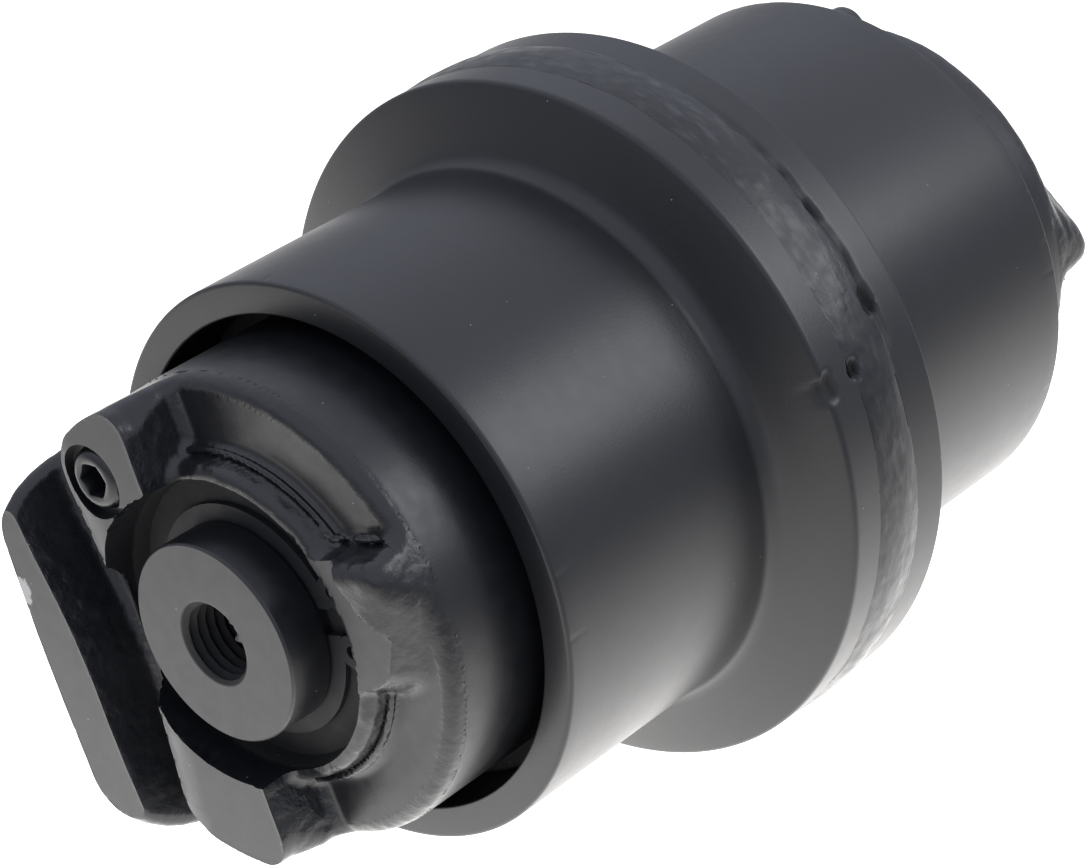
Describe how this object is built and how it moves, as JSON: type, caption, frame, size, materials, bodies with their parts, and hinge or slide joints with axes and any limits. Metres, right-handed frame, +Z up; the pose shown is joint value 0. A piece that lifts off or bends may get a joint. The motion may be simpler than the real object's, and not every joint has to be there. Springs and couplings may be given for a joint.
{
  "type": "track roller",
  "caption": "Sealed track roller with a centre flange, turning on a fixed axle between two cast end collars with locating ribs.",
  "frame": {"origin": "middle of the roller on the axle's centre line", "axes": "+Y along the axle towards the far end, +Z up as in the picture, +X to the right seen from the near end"},
  "size_m": [0.1412, 0.2098, 0.1412],
  "materials": {
    "shell_paint": "satin black paint over turned steel",
    "weld_paint": "satin black paint over a ground weld bead",
    "collar_paint": "satin black paint over a rough casting",
    "axle_paint": "thin satin black paint over a turned face",
    "plug_paint": "satin black paint",
    "bronze": "turned bronze",
    "seal_iron": "lapped hard iron",
    "seal_rubber": "matte black rubber",
    "spring_steel": "dark phosphated spring steel",
    "pin_steel": "ground steel"
  },
  "bodies": {
    "axle_assembly": {"static_seal_ring_near": "seal_iron", "static_toric_near": "seal_rubber", "axle_ring_seal_near": "seal_rubber", "collar_near": "collar_paint", "retaining_ring_near": "spring_steel", "lock_pin_near": "pin_steel", "static_seal_ring_far": "seal_iron", "static_toric_far": "seal_rubber", "axle_ring_seal_far": "seal_rubber", "collar_far": "collar_paint", "retaining_ring_far": "spring_steel", "lock_pin_far": "pin_steel", "axle": "axle_paint", "oil_plug": "plug_paint"},
    "roller": {"shell_half_near": "shell_paint", "bushing_near": "bronze", "rotating_seal_ring_near": "seal_iron", "rotating_toric_near": "seal_rubber", "shell_half_far": "shell_paint", "bushing_far": "bronze", "rotating_seal_ring_far": "seal_iron", "rotating_toric_far": "seal_rubber", "centre_weld_bead": "weld_paint"}
  },
  "joints": [
    {"name": "roller_spin", "type": "hinge", "parent": "axle_assembly", "child": "roller", "pos_m": [0, 0, 0], "axis": [0, 1, 0], "continuous": true}
  ]
}
